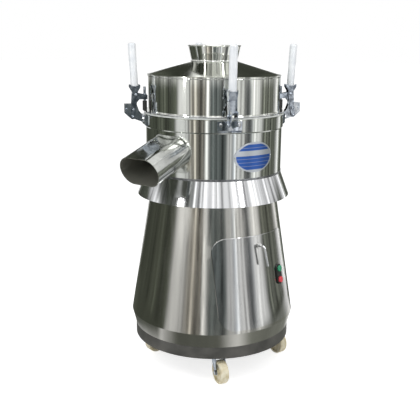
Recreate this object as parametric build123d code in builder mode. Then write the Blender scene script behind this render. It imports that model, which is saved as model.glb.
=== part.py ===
from build123d import *
from math import cos, degrees, radians, sin, tan
import os

# Small round sieve for powders: a vibrating screen drum on springs over a tapered motor stand on casters.
# Millimetres. +Z is up, the origin is on the machine's axis at the floor, and the front faces -Y.
# An azimuth is measured in degrees from the front towards +X, so a point at radius r has
# x = r sin(azimuth) and y = -r cos(azimuth).

os.makedirs("parts", exist_ok=True)

# Fits
weld_gap = 0.2
fit_gap = 0.02
running_gap = 0.05
part_gap = 0.3

# Casters
caster_count = 4
caster_azimuth = 5.0
caster_inset = 44.0
caster_trails = (25.0, 35.0, 60.0, 131.0)
caster_trail = 26.0
wheel_radius = 37.5
wheel_width = 27.0
tread_round = 4.0
hub_radius = 11.0
axle_radius = 4.0
fork_plate = 3.0
fork_side_gap = 1.5
fork_lobe = 8.5
crown_radius = 21.0
wheel_clearance = 13.0
raceway_height = 8.0
kingpin_radius = 5.0
caster_plate_size = 60.0
caster_plate_thickness = 3.0

# Base pan
base_radius = 258.0
base_wall = 5.0
base_apron = 12.3
base_height = 38.0
base_plate_thickness = 6.0
base_lip = 12.0

# Tapered stand
shell_foot_overhang = 0.3
shell_wall = 2.0
widest_radius = 270.0
shell_bevel_height = 46.0
shell_taper = 9.02
shell_height = 414.0
shell_lip = 14.0
deck_thickness = 6.0
deck_hole_radius = 95.0

# Access door
door_azimuth = 38.5
door_width = 294.0
door_height = 285.0
door_rise = 10.0
door_corner = 45.0
door_thickness = 1.8
door_overlap = 12.0
tab_offset_angle = 8.0
tab_span_angle = 6.0
tab_setback = 8.5
tab_thickness = 2.0
tab_height = 18.0

# Door latch
latch_drop = 33.0
latch_rod = 4.0
latch_standoff = 28.0
latch_lever = 64.0
latch_lean = 8.0
latch_bend = 9.0
escutcheon_radius = 9.0
escutcheon_height = 4.0
tongue_length = 32.0
tongue_width = 16.0
tongue_thickness = 2.5

# Push buttons
button_azimuth = 59.0
button_drop = 141.6
button_spacing = 36.0
button_radius = 10.0
button_gap = 0.25
button_head = 5.0
button_travel = 2.5
button_stem_radius = 4.5
bezel_width = 29.0
bezel_length = 66.0
bezel_thickness = 4.5
contact_depth = 34.0

# Motor and coupling
motor_radius = 66.0
motor_foot_radius = 88.0
motor_foot_thickness = 10.0
motor_length = 225.0
motor_fin_count = 18
motor_fin_height = 7.0
motor_fin_width = 3.0
motor_nose_radius = 46.0
motor_nose_length = 12.0
motor_shaft_radius = 11.0
terminal_box_size = 74.0
terminal_box_depth = 34.0
jaw_radius = 31.0
jaw_bore_radius = 13.0
jaw_hub_height = 22.0
jaw_height = 16.0
jaw_half_angle = 18.0
spider_half_angle = 11.0
shake_room = 4.0

# Vibrator
main_shaft_radius = 15.0
bearing_outer_radius = 31.0
bearing_width = 18.0
housing_radius = 42.0
housing_bore_radius = 27.0
housing_length = 172.0
housing_above_plate = 6.0
housing_flange_radius = 78.0
housing_flange_thickness = 12.0
weight_radius = 68.0
weight_thickness = 16.0
weight_hub_radius = 25.0
weight_half_angle = 80.0
weight_clearance = 8.0

# Springs
spring_count = 6
spring_circle = 165.0
spring_coil_radius = 15.0
spring_wire_radius = 2.4
spring_turns = 4
spring_peg_radius = 10.5
spring_peg_height = 9.0

# Lower drum of the screen body
drum_radius = 219.0
drum_wall = 2.5
spring_height = 50.0
drum_height = 176.0
collar_radius = 222.5
collar_height = 40.0
collar_step = 4.0
suspension_plate_thickness = 6.0
skirt_radius = 247.0
skirt_height = 80.4
skirt_wall = 2.0
skirt_lip = 16.0
floor_slope = 16.0
floor_wall = 2.0

# Outlet spouts
spout_width = 150.0
spout_height = 88.0
spout_wall = 2.0
spout_slope = 19.0
spout_reach = 352.0
fine_azimuth = -37.5
fine_root_rise = 78.0
coarse_azimuth = 167.0
coarse_root_rise = 46.0
coarse_height = 64.0

# Nameplate
nameplate_azimuth = 34.8
nameplate_rise = 64.0
nameplate_width = 143.0
nameplate_depth = 92.0
nameplate_thickness = 1.2

# Screen
screen_flange_radius = 224.0
screen_flange_thickness = 3.0
screen_wall_radius = 209.0
screen_wall = 3.0
screen_depth = 14.0
mesh_thickness = 1.0
seal_inner_radius = 211.0
seal_outer_radius = 224.5
seal_thickness = 4.7

# Cover
cover_radius = 211.0
cover_wall = 2.0
cover_flange_radius = 225.0
cover_flange_thickness = 4.0
cover_height = 114.0
lid_rim_radius = 213.5
lid_rim_width = 9.0
lid_rim_thickness = 2.5
lid_wall = 2.0
hopper_neck_radius = 73.5
lid_rise = 33.0
hopper_neck_length = 14.0
hopper_top_radius = 83.0
hopper_rise = 44.6
hopper_wall = 2.0
hopper_bead = 2.2

# Toggle clamps
clamp_azimuths = (12.0, 102.0, 192.0, 282.0)
clamp_foot_thickness = 8.5
clamp_foot_width = 72.0
clamp_foot_height = 35.0
clamp_foot_chamfer = 7.0
arm_pivot_reach = 34.4
arm_pivot_rise = 26.6
handle_pivot_reach = 28.9
handle_pivot_rise = 60.9
link_pivot_reach = 39.7
link_pivot_drop = 7.5
link_eye_reach = 36.9
link_eye_rise = 15.3
bracket_reach = 64.0
bracket_rise = 33.0
bracket_heel_rise = 4.0
arm_half_width = 8.0
clamp_plate = 2.0
bracket_plate = 2.5
layer_gap = 0.3
pivot_radius = 3.0
eye_pin_radius = 2.5
eye_clearance = 2.6
lobe_radius = 7.5
spindle_radius = 4.0
spindle_inset = 2.5
spindle_rise = 26.0
spindle_nut_radius = 7.0
spindle_nut_height = 4.0
pad_radius = 7.0
pad_height = 30.0
pad_floor = 8.0
arm_bar_drop = 14.4
arm_bar_depth = 13.5
handle_neck_rise = 25.1
handle_neck_shift = 2.6
handle_lean = 3.0
handle_length = 133.0
handle_rod_radius = 7.0
grip_radius = 12.0
grip_end = 8.0
wing_reach = 17.0
wing_rise = 6.0


def upright(azimuth):
    """Vertical plane through the axis: local x points outwards and local y points up."""
    a = radians(azimuth)
    return Plane(origin=(0, 0, 0), x_dir=(sin(a), -cos(a), 0), z_dir=(-cos(a), -sin(a), 0))


def facing(azimuth, radius, height, tilt=0.0):
    """Plane that faces outwards at a point: local x is horizontal, the normal rises by tilt degrees."""
    a, t = radians(azimuth), radians(tilt)
    normal = (cos(t) * sin(a), -cos(t) * cos(a), sin(t))
    return Plane(
        origin=(radius * sin(a), -radius * cos(a), height), x_dir=(cos(a), sin(a), 0), z_dir=normal
    )


def shell_radius(height):
    """Outer radius of the tapered stand at a height above its widest ring."""
    return widest_radius - (height - widest_height) * tan(radians(shell_taper))


def on_shell(azimuth, height):
    """Plane on the stand's outer face, square to it."""
    return facing(azimuth, shell_radius(height), height, shell_taper)


def keep(piece, name):
    """Labels a finished piece and writes it."""
    piece.label = name
    export_step(piece, f"parts/{name}.step")


def outline(*points):
    """Closed face through the points, in the sketch that is open."""
    with BuildLine() as edge:
        Polyline(*points, close=True)
    make_face(edge.edges())


def sector(inner, outer, middle, half_angle):
    """Ring sector about the sketch's origin."""
    with BuildLine() as edge:
        for radius in (inner, outer):
            CenterArc((0, 0), radius, middle - half_angle, 2 * half_angle)
        for side in (-1, 1):
            a = radians(middle + side * half_angle)
            Line((inner * cos(a), inner * sin(a)), (outer * cos(a), outer * sin(a)))
    make_face(edge.edges())


# Heights and reaches that follow from the stack of parts, from the wheels upwards
caster_circle = base_radius - caster_inset
shell_foot_radius = base_radius + shell_foot_overhang
crown_height = 2 * wheel_radius + wheel_clearance
crown_top = crown_height + fork_plate
raceway_bottom = crown_top + part_gap
base_plate_bottom = raceway_bottom + raceway_height + caster_plate_thickness
base_plate_top = base_plate_bottom + base_plate_thickness
base_bottom = base_plate_bottom - base_apron
base_top = base_bottom + base_height
widest_height = base_top + shell_bevel_height
shell_top = widest_height + shell_height
door_bottom = widest_height + door_rise
door_top = door_bottom + door_height
latch_height = door_top - latch_drop
button_height = door_top - button_drop
drum_bottom = shell_top + deck_thickness + spring_height + suspension_plate_thickness
drum_top = drum_bottom + drum_height
collar_bottom = drum_top - collar_height
skirt_bottom = drum_bottom - skirt_height
fine_root_height = drum_bottom + fine_root_rise
nameplate_height = drum_bottom + nameplate_rise
cover_bottom = drum_top + screen_flange_thickness + seal_thickness + part_gap
cover_flange_top = cover_bottom + cover_flange_thickness
cover_top = cover_bottom + cover_height
coarse_root_height = cover_bottom + coarse_root_rise
hopper_neck_bottom = cover_top + lid_rise
hopper_neck_top = hopper_neck_bottom + hopper_neck_length
hopper_top = hopper_neck_top + hopper_rise
clamp_foot_bottom = drum_top - clamp_foot_height
arm_pivot = (collar_radius + arm_pivot_reach, drum_top + arm_pivot_rise)
handle_pivot = (collar_radius + handle_pivot_reach, drum_top + handle_pivot_rise)
link_pivot = (collar_radius + link_pivot_reach, drum_top - link_pivot_drop)
link_eye = (collar_radius + link_eye_reach, drum_top + link_eye_rise)
bracket_end = collar_radius + bracket_reach
bracket_top = drum_top + bracket_rise
bracket_heel = drum_top + bracket_heel_rise
arm_bar_bottom = handle_pivot[1] - arm_bar_drop
arm_bar_top = arm_bar_bottom + arm_bar_depth
spindle_distance = cover_flange_radius - spindle_inset
spindle_top = arm_bar_top + spindle_rise
pad_top = cover_flange_top + pad_height
pad_socket_bottom = cover_flange_top + pad_floor
handle_neck = handle_pivot[1] + handle_neck_rise
handle_neck_distance = handle_pivot[0] + handle_neck_shift
handle_top = handle_neck + handle_length
shell_top_radius = shell_radius(shell_top)
deck_top = shell_top + deck_thickness
suspension_bottom = drum_bottom - suspension_plate_thickness
screen_flange_top = drum_top + screen_flange_thickness
screen_bottom = drum_top - screen_depth

# Base: a ring with an inward lip, and the plate welded inside it
with BuildPart() as base_frame:
    with BuildSketch(Plane.XZ):
        inner = base_radius - base_wall
        outline(
            (base_radius, base_bottom),
            (base_radius, base_top),
            (base_radius - base_lip, base_top),
            (base_radius - base_lip, base_top - base_wall),
            (inner, base_top - base_wall),
            (inner, base_plate_top),
            (0, base_plate_top),
            (0, base_plate_bottom),
            (inner, base_plate_bottom),
            (inner, base_bottom),
        )
    revolve(axis=Axis.Z)
keep(base_frame.part, "base_frame")

# Casters: the plates with their raceways and kingpins stay with the base
caster_azimuths = [caster_azimuth + k * 360 / caster_count for k in range(caster_count)]
kingpin_nut_height = 5.0
with BuildPart() as caster_plates:
    for azimuth in caster_azimuths:
        under = facing(azimuth, caster_circle, 0).origin
        with BuildSketch(Plane(under, x_dir=upright(azimuth).x_dir).offset(base_plate_bottom)):
            RectangleRounded(caster_plate_size, caster_plate_size, 6)
        extrude(amount=-caster_plate_thickness)
        with BuildSketch(Plane(under).offset(raceway_bottom)):
            Circle(crown_radius - 2)
        extrude(amount=raceway_height)
        with BuildSketch(Plane(under).offset(raceway_bottom)):
            Circle(kingpin_radius)
        extrude(amount=-(fork_plate + 2 * part_gap))
        with BuildSketch(Plane(under).offset(crown_height - part_gap)):
            RegularPolygon(kingpin_radius + 4, 6)
        extrude(amount=-kingpin_nut_height)
keep(caster_plates.part, "caster_plates")

fork_inner = wheel_width / 2 + fork_side_gap
for k, azimuth in enumerate(caster_azimuths):
    swivel = facing(azimuth, caster_circle, 0).origin
    trail = upright(caster_trails[k])
    side = Plane(origin=swivel, x_dir=trail.x_dir, z_dir=trail.z_dir)

    with BuildPart() as caster_fork:
        with BuildSketch(side):
            with BuildLine():
                start = (-crown_radius + 6, crown_top)
                top = (crown_radius - 2, crown_top)
                Line(start, top)
                back = Line(start, (caster_trail - fork_lobe, wheel_radius))
                lobe = JernArc(back @ 1, (0, -1), fork_lobe, 180)
                Line(lobe @ 1, top)
            make_face()
        extrude(amount=fork_inner + fork_plate, both=True)
        with BuildSketch(side):
            with Locations((caster_trail, crown_height / 2)):
                Rectangle(6 * crown_radius, crown_height)
        extrude(amount=fork_inner, both=True, mode=Mode.SUBTRACT)
        with BuildSketch(Plane(swivel).offset(crown_height)):
            Circle(crown_radius + 2)
            Circle(kingpin_radius + part_gap, mode=Mode.SUBTRACT)
        extrude(amount=fork_plate)
        with BuildSketch(Plane(swivel).offset(crown_height)):
            Circle(kingpin_radius + part_gap)
        extrude(amount=fork_plate, mode=Mode.SUBTRACT)
        with BuildSketch(side):
            with Locations((caster_trail, wheel_radius)):
                Circle(axle_radius)
        extrude(amount=fork_inner + fork_plate + 2, both=True)
        for face in (-1, 1):
            with BuildSketch(side.offset(face * (fork_inner + fork_plate))):
                with Locations((caster_trail, wheel_radius)):
                    RegularPolygon(axle_radius + 3, 6)
            extrude(amount=face * 4)
    keep(caster_fork.part, f"caster_fork_{k + 1}")

    with BuildPart() as caster_wheel:
        with BuildSketch(side):
            with Locations((caster_trail, wheel_radius)):
                Circle(wheel_radius)
        extrude(amount=wheel_width / 2, both=True)
        fillet(caster_wheel.edges().filter_by(GeomType.CIRCLE), tread_round)
        for face in (-1, 1):
            with BuildSketch(side.offset(face * wheel_width / 2)):
                with Locations((caster_trail, wheel_radius)):
                    Circle(wheel_radius - 8)
                    Circle(hub_radius, mode=Mode.SUBTRACT)
            extrude(amount=-face * 5, mode=Mode.SUBTRACT)
        with BuildSketch(side):
            with Locations((caster_trail, wheel_radius)):
                Circle(hub_radius)
        extrude(amount=fork_inner - part_gap, both=True)
        with BuildSketch(side):
            with Locations((caster_trail, wheel_radius)):
                Circle(axle_radius + running_gap)
        extrude(amount=fork_inner, both=True, mode=Mode.SUBTRACT)
    keep(caster_wheel.part, f"caster_wheel_{k + 1}")

# Tapered stand: foot flange on the base, bevel, long taper and a top flange, with the door's opening
opening_width = door_width - 2 * door_overlap
opening_height = door_top - door_bottom - 2 * door_overlap
door_middle = (door_top + door_bottom) / 2
door_face = facing(door_azimuth, 0, door_middle)
with BuildPart() as cone_shell:
    with BuildSketch(Plane.XZ):
        outline(
            (shell_foot_radius, base_top),
            (widest_radius, widest_height),
            (shell_top_radius, shell_top),
            (shell_top_radius - shell_lip, shell_top),
            (shell_top_radius - shell_lip, shell_top - shell_wall),
            (shell_radius(shell_top - shell_wall) - shell_wall, shell_top - shell_wall),
            (widest_radius - shell_wall, widest_height),
            (shell_foot_radius - shell_wall, base_top + shell_wall),
            (shell_foot_radius - base_lip, base_top + shell_wall),
            (shell_foot_radius - base_lip, base_top),
        )
    revolve(axis=Axis.Z)
    with BuildSketch(door_face):
        RectangleRounded(opening_width, opening_height, door_corner - door_overlap)
    extrude(amount=2 * widest_radius, mode=Mode.SUBTRACT)
keep(cone_shell.part, "cone_shell")

# Deck on top of the stand, with a peg for each spring
spring_azimuths = [k * 360 / spring_count for k in range(spring_count)]
with BuildPart() as spring_deck:
    with BuildSketch(Plane.XY.offset(shell_top)):
        Circle(shell_top_radius - 1)
        Circle(deck_hole_radius, mode=Mode.SUBTRACT)
    extrude(amount=deck_thickness)
    with BuildSketch(Plane.XY.offset(deck_top)):
        with PolarLocations(spring_circle, spring_count):
            Circle(spring_peg_radius)
    extrude(amount=spring_peg_height)
keep(spring_deck.part, "spring_deck")

spring_bottom = deck_top + part_gap + spring_wire_radius
spring_length = suspension_bottom - part_gap - spring_wire_radius - spring_bottom
with BuildPart() as springs:
    for azimuth in spring_azimuths:
        a = radians(azimuth)
        foot = (spring_circle * cos(a), spring_circle * sin(a), spring_bottom)
        with BuildLine(Plane(foot)) as coil:
            Helix(spring_length / spring_turns, spring_length, spring_coil_radius)
        with BuildSketch(Plane(coil.line @ 0, z_dir=coil.line % 0)):
            Circle(spring_wire_radius)
        sweep(path=coil.line, is_frenet=True)
keep(springs.part, "springs")

# Access door: a lapped panel with two hooks behind the opening's lower edge
door_inner = [(shell_radius(z) + part_gap, z) for z in (widest_height, shell_top)]
with BuildPart() as access_door:
    with BuildSketch(Plane.XZ):
        (r0, z0), (r1, z1) = door_inner
        outline((r0, z0), (r0 + door_thickness, z0), (r1 + door_thickness, z1), (r1, z1))
    revolve(axis=Axis.Z)
    with BuildSketch(door_face):
        RectangleRounded(door_width, door_top - door_bottom, door_corner)
    extrude(amount=2 * widest_radius, mode=Mode.INTERSECT)
    tab_bottom = door_bottom + tab_thickness * 2
    tab_top = tab_bottom + tab_height
    bridge = door_bottom + door_overlap + tab_thickness
    for turn in (-tab_offset_angle, tab_offset_angle):
        with BuildSketch(upright(door_azimuth + turn - tab_span_angle / 2)):
            skin = part_gap + door_thickness / 2
            back = -tab_setback - tab_thickness
            outline(
                (shell_radius(tab_top) + skin, tab_top),
                (shell_radius(tab_top) + back, tab_top),
                (shell_radius(tab_bottom) + back, tab_bottom),
                (shell_radius(tab_bottom) - tab_setback, tab_bottom),
                (shell_radius(bridge) - tab_setback, bridge),
                (shell_radius(bridge) + skin, bridge),
            )
        revolve(axis=Axis.Z, revolution_arc=tab_span_angle)
    latch_face = on_shell(door_azimuth, latch_height)
    with BuildSketch(latch_face.offset(part_gap + door_thickness / 2)):
        Circle(escutcheon_radius)
    extrude(amount=door_thickness / 2 + escutcheon_height)
    with BuildSketch(latch_face.offset(-latch_standoff)):
        Circle(latch_rod + part_gap)
    extrude(amount=2 * latch_standoff, mode=Mode.SUBTRACT)
    bezel_face = on_shell(button_azimuth, button_height)
    with BuildSketch(bezel_face.offset(-contact_depth)):
        with GridLocations(0, button_spacing, 1, 2):
            Circle(button_stem_radius + 2 * part_gap)
    extrude(amount=2 * contact_depth, mode=Mode.SUBTRACT)
keep(access_door.part, "access_door")

# Turn latch: a bent rod outside, a tongue behind the panel
with BuildPart() as door_latch:
    with BuildLine(latch_face) as rod:
        FilletPolyline(
            (0, 0, -shell_wall - tongue_thickness),
            (0, 0, latch_standoff),
            (latch_lean, -latch_lever, latch_standoff),
            radius=latch_bend,
        )
    with BuildSketch(Plane(rod.line @ 0, z_dir=rod.line % 0)):
        Circle(latch_rod)
    sweep(path=rod.line)
    tongue_face = -shell_wall - 1.2 - tongue_thickness
    with BuildSketch(latch_face.offset(tongue_face)):
        with Locations((tongue_length / 2 - tongue_width / 4, 0)):
            SlotOverall(tongue_length + tongue_width / 2, tongue_width)
    extrude(amount=tongue_thickness)
keep(door_latch.part, "door_latch")

# Start and stop station: a bezel outside the panel and the contact block inside it
door_outer = part_gap + door_thickness
with BuildPart() as button_station:
    with BuildSketch(bezel_face.offset(door_outer)):
        Rectangle(bezel_width - 2, bezel_length - 4)
    extrude(amount=-(contact_depth + door_outer))
    with BuildSketch(Plane.XZ):
        (r0, z0), (r1, z1) = door_inner
        outline((r0 - fit_gap, z0), (2 * r0, z0), (2 * r0, z1), (r1 - fit_gap, z1))
    revolve(axis=Axis.Z, mode=Mode.SUBTRACT)
    with BuildSketch(bezel_face.offset(-2 * button_travel)):
        with GridLocations(0, button_spacing, 1, 2):
            Circle(button_stem_radius + 2 * part_gap)
    extrude(amount=contact_depth, mode=Mode.SUBTRACT)
    with BuildSketch(bezel_face.offset(door_outer + 0.1)):
        SlotOverall(bezel_length, bezel_width, rotation=90)
        with GridLocations(0, button_spacing, 1, 2):
            Circle(button_radius + button_gap, mode=Mode.SUBTRACT)
    extrude(amount=bezel_thickness)
keep(button_station.part, "button_station")

button_floor = door_outer + button_travel + 0.5
for name, side in (("start_button", 1), ("stop_button", -1)):
    with BuildPart() as button:
        with BuildSketch(bezel_face.offset(button_floor)):
            with Locations((0, side * button_spacing / 2)):
                Circle(button_radius)
        extrude(amount=bezel_thickness + button_head - button_travel)
        fillet(button.faces().sort_by(Axis((0, 0, 0), bezel_face.z_dir))[-1].edges(), 1.5)
        with BuildSketch(bezel_face.offset(button_floor)):
            with Locations((0, side * button_spacing / 2)):
                Circle(button_stem_radius)
        extrude(amount=-(button_floor + part_gap) + button_travel)
    keep(button.part, name)

# Motor: stands on the base plate on its foot flange
motor_bottom = base_plate_top
motor_top = motor_bottom + motor_length
motor_nose_top = motor_top + motor_nose_length
with BuildPart() as motor_body:
    with BuildSketch(Plane.XY.offset(motor_bottom)):
        Circle(motor_foot_radius)
    extrude(amount=motor_foot_thickness)
    with BuildSketch(Plane.XY.offset(motor_bottom)):
        Circle(motor_radius)
    extrude(amount=motor_length)
    with BuildSketch(Plane.XY.offset(motor_bottom + 3 * motor_foot_thickness)):
        with PolarLocations(motor_radius, motor_fin_count):
            Rectangle(2 * motor_fin_height, motor_fin_width)
    extrude(amount=motor_length - 5 * motor_foot_thickness)
    with BuildSketch(Plane.XY.offset(motor_top)):
        Circle(motor_nose_radius)
    extrude(amount=motor_nose_length)
    with BuildSketch(upright(180)):
        with Locations((motor_radius, (motor_bottom + motor_top) / 2)):
            RectangleRounded(2 * terminal_box_depth, terminal_box_size, 5)
    extrude(amount=terminal_box_size / 2, both=True)
    with BuildSketch(Plane.XY.offset(motor_nose_top)):
        Circle(motor_shaft_radius + running_gap)
    extrude(amount=-(motor_nose_length + 3 * motor_foot_thickness), mode=Mode.SUBTRACT)
keep(motor_body.part, "motor_body")

# Drive: motor shaft with the lower jaw, the rubber spider, and the main shaft with the upper jaw
jaw_bottom = motor_nose_top + 10
lower_jaw_top = jaw_bottom + jaw_hub_height
upper_jaw_bottom = lower_jaw_top + jaw_height + shake_room
with BuildPart() as motor_shaft:
    with BuildSketch(Plane.XY.offset(motor_nose_top - motor_nose_length - 2 * motor_foot_thickness)):
        Circle(motor_shaft_radius)
    extrude(amount=jaw_bottom - motor_nose_top + motor_nose_length + 2 * motor_foot_thickness)
    with BuildSketch(Plane.XY.offset(jaw_bottom)):
        Circle(jaw_radius)
    extrude(amount=jaw_hub_height)
    with BuildSketch(Plane.XY.offset(lower_jaw_top)):
        for k in range(3):
            sector(jaw_bore_radius, jaw_radius, 120 * k, jaw_half_angle)
    extrude(amount=jaw_height)
keep(motor_shaft.part, "motor_shaft")

with BuildPart() as coupling_spider:
    with BuildSketch(Plane.XY.offset(lower_jaw_top)):
        Circle(jaw_bore_radius - part_gap)
        Circle(jaw_bore_radius - 6, mode=Mode.SUBTRACT)
        for k in range(6):
            sector(jaw_bore_radius - 1, jaw_radius - 1, 60 * k + 30, spider_half_angle)
    extrude(amount=jaw_height)
keep(coupling_spider.part, "coupling_spider")

upper_jaw_top = upper_jaw_bottom + jaw_hub_height
housing_top = drum_bottom + housing_above_plate
housing_bottom = housing_top - housing_length
upper_weight_bottom = housing_top + weight_clearance
lower_weight_top = housing_bottom - weight_clearance
with BuildPart() as main_shaft:
    with BuildSketch(Plane.XY.offset(upper_jaw_bottom)):
        Circle(jaw_radius)
    extrude(amount=jaw_hub_height)
    with BuildSketch(Plane.XY.offset(upper_jaw_bottom)):
        for k in range(3):
            sector(jaw_bore_radius, jaw_radius, 120 * k + 60, jaw_half_angle)
    extrude(amount=-jaw_height)
    with BuildSketch(Plane.XY.offset(upper_jaw_top)):
        Circle(main_shaft_radius)
    extrude(amount=upper_weight_bottom + weight_thickness + 4 - upper_jaw_top)
keep(main_shaft.part, "main_shaft")

for name, bottom in (
    ("upper_weight", upper_weight_bottom),
    ("lower_weight", lower_weight_top - weight_thickness),
):
    with BuildPart() as weight:
        with BuildSketch(Plane.XY.offset(bottom)):
            Circle(weight_hub_radius)
            sector(main_shaft_radius + 2, weight_radius, -90, weight_half_angle)
            Circle(main_shaft_radius + fit_gap, mode=Mode.SUBTRACT)
        extrude(amount=weight_thickness)
    keep(weight.part, name)

# Bearing housing: hangs through the suspension plate and is bolted under it
with BuildPart() as bearing_housing:
    with BuildSketch(Plane.XY.offset(housing_bottom)):
        Circle(housing_radius)
    extrude(amount=housing_length)
    with BuildSketch(Plane.XY.offset(suspension_bottom)):
        Circle(housing_flange_radius)
    extrude(amount=-housing_flange_thickness)
    with BuildSketch(Plane.XY.offset(housing_bottom)):
        Circle(housing_bore_radius)
    extrude(amount=housing_length, mode=Mode.SUBTRACT)
    for z, way in ((housing_bottom, 1), (housing_top, -1)):
        with BuildSketch(Plane.XY.offset(z)):
            Circle(bearing_outer_radius + fit_gap)
        extrude(amount=way * bearing_width, mode=Mode.SUBTRACT)
keep(bearing_housing.part, "bearing_housing")

with BuildPart() as bearings:
    for bottom in (housing_bottom, housing_top - bearing_width):
        with BuildSketch(Plane.XY.offset(bottom)):
            Circle(bearing_outer_radius)
            Circle(main_shaft_radius + running_gap, mode=Mode.SUBTRACT)
        extrude(amount=bearing_width)
        for z, way in ((bottom, 1), (bottom + bearing_width, -1)):
            with BuildSketch(Plane.XY.offset(z)):
                Circle(bearing_outer_radius - 4)
                Circle(main_shaft_radius + 4, mode=Mode.SUBTRACT)
            extrude(amount=way * 2, mode=Mode.SUBTRACT)
keep(bearings.part, "bearings")

# Suspension plate: closes the drum below and rests on the springs
with BuildPart() as suspension_plate:
    with BuildSketch(Plane.XY.offset(suspension_bottom)):
        Circle(drum_radius + 1)
        Circle(housing_radius + fit_gap, mode=Mode.SUBTRACT)
    extrude(amount=suspension_plate_thickness)
keep(suspension_plate.part, "suspension_plate")


def spout_plane(azimuth, root_height):
    """Plane across a spout's tube at its tip, facing along the tube."""
    tip_height = root_height - (spout_reach - drum_radius) * tan(radians(spout_slope))
    return facing(azimuth, spout_reach, tip_height, -spout_slope)


fine_tip = spout_plane(fine_azimuth, fine_root_height)
coarse_tip = spout_plane(coarse_azimuth, coarse_root_height)
spout_run = 1.35 * (spout_reach - drum_radius)

# Drum: cylinder with a wider collar at the top and the outlet's hole
with BuildPart() as discharge_drum:
    with BuildSketch(Plane.XZ):
        drum_inner = drum_radius - drum_wall
        outline(
            (drum_radius, drum_bottom),
            (drum_radius, collar_bottom),
            (collar_radius, collar_bottom + collar_step),
            (collar_radius, drum_top),
            (drum_inner, drum_top),
            (drum_inner, drum_bottom),
        )
    revolve(axis=Axis.Z)
    with BuildSketch(fine_tip):
        SlotOverall(spout_width - 2 * spout_wall, spout_height - 2 * spout_wall)
    extrude(amount=-spout_run, mode=Mode.SUBTRACT)
keep(discharge_drum.part, "discharge_drum")

with BuildPart() as fine_spout:
    with BuildSketch(fine_tip):
        SlotOverall(spout_width, spout_height)
        SlotOverall(spout_width - 2 * spout_wall, spout_height - 2 * spout_wall, mode=Mode.SUBTRACT)
    extrude(amount=-spout_run)
    with BuildSketch(Plane.XY.offset(drum_bottom)):
        Circle(drum_radius + weld_gap)
    extrude(amount=drum_top - drum_bottom, mode=Mode.SUBTRACT)
keep(fine_spout.part, "fine_spout")

# Drum floor: a shallow cone that sheds the sieved powder to the outlet
floor_edge = drum_inner - weld_gap
floor_rim = fine_root_height - (spout_height / 2 - spout_wall) / cos(radians(spout_slope))
floor_apex = floor_rim + floor_edge * tan(radians(floor_slope))
with BuildPart() as drum_floor:
    with BuildSketch(Plane.XZ):
        outline(
            (0, floor_apex),
            (floor_edge, floor_rim),
            (floor_edge, floor_rim - floor_wall),
            (0, floor_apex - floor_wall),
        )
    revolve(axis=Axis.Z)
keep(drum_floor.part, "drum_floor")

# Skirt under the drum, over the top of the stand
with BuildPart() as skirt:
    with BuildSketch(Plane.XZ):
        outline(
            (drum_radius, suspension_bottom),
            (skirt_radius, skirt_bottom),
            (skirt_radius - skirt_wall, skirt_bottom),
            (drum_radius - skirt_wall, suspension_bottom - skirt_wall),
            (drum_radius - skirt_lip, suspension_bottom - skirt_wall),
            (drum_radius - skirt_lip, suspension_bottom),
        )
    revolve(axis=Axis.Z)
keep(skirt.part, "skirt")

# Nameplate, curved to the drum
with BuildPart() as nameplate:
    with BuildSketch(Plane.XY.offset(nameplate_height - nameplate_depth)):
        Circle(drum_radius + weld_gap + nameplate_thickness)
        Circle(drum_radius + weld_gap, mode=Mode.SUBTRACT)
    extrude(amount=2 * nameplate_depth)
    with BuildSketch(facing(nameplate_azimuth, 0, nameplate_height)):
        half_turn = nameplate_width / 2 / drum_radius
        Ellipse(drum_radius * sin(half_turn), nameplate_depth / 2)
    extrude(amount=2 * drum_radius, mode=Mode.INTERSECT)
keep(nameplate.part, "nameplate")

# Screen ring, mesh and seal
with BuildPart() as screen_ring:
    with BuildSketch(Plane.XZ):
        outline(
            (screen_flange_radius, drum_top),
            (screen_flange_radius, screen_flange_top),
            (screen_wall_radius - screen_wall, screen_flange_top),
            (screen_wall_radius - screen_wall, screen_bottom),
            (screen_wall_radius, screen_bottom),
            (screen_wall_radius, drum_top),
        )
    revolve(axis=Axis.Z)
keep(screen_ring.part, "screen_ring")

with BuildPart() as screen_mesh:
    with BuildSketch(Plane.XY.offset(screen_bottom)):
        Circle(screen_wall_radius)
    extrude(amount=-mesh_thickness)
keep(screen_mesh.part, "screen_mesh")

with BuildPart() as cover_seal:
    with BuildSketch(Plane.XY.offset(screen_flange_top)):
        Circle(seal_outer_radius)
        Circle(seal_inner_radius, mode=Mode.SUBTRACT)
    extrude(amount=seal_thickness)
keep(cover_seal.part, "cover_seal")

# Cover: drum with a clamping flange, conical lid and feed hopper
with BuildPart() as cover_drum:
    with BuildSketch(Plane.XZ):
        cover_inner = cover_radius - cover_wall
        outline(
            (cover_inner, cover_bottom),
            (cover_flange_radius, cover_bottom),
            (cover_flange_radius, cover_flange_top),
            (cover_radius, cover_flange_top),
            (cover_radius, cover_top),
            (cover_inner, cover_top),
        )
    revolve(axis=Axis.Z)
    with BuildSketch(coarse_tip):
        SlotOverall(spout_width - 2 * spout_wall, coarse_height - 2 * spout_wall)
    extrude(amount=-spout_run, mode=Mode.SUBTRACT)
keep(cover_drum.part, "cover_drum")

with BuildPart() as coarse_spout:
    with BuildSketch(coarse_tip):
        SlotOverall(spout_width, coarse_height)
        SlotOverall(spout_width - 2 * spout_wall, coarse_height - 2 * spout_wall, mode=Mode.SUBTRACT)
    extrude(amount=-spout_run)
    with BuildSketch(Plane.XY.offset(cover_bottom - spout_height)):
        Circle(cover_radius + weld_gap)
    extrude(amount=cover_top - cover_bottom + spout_height, mode=Mode.SUBTRACT)
keep(coarse_spout.part, "coarse_spout")

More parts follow.
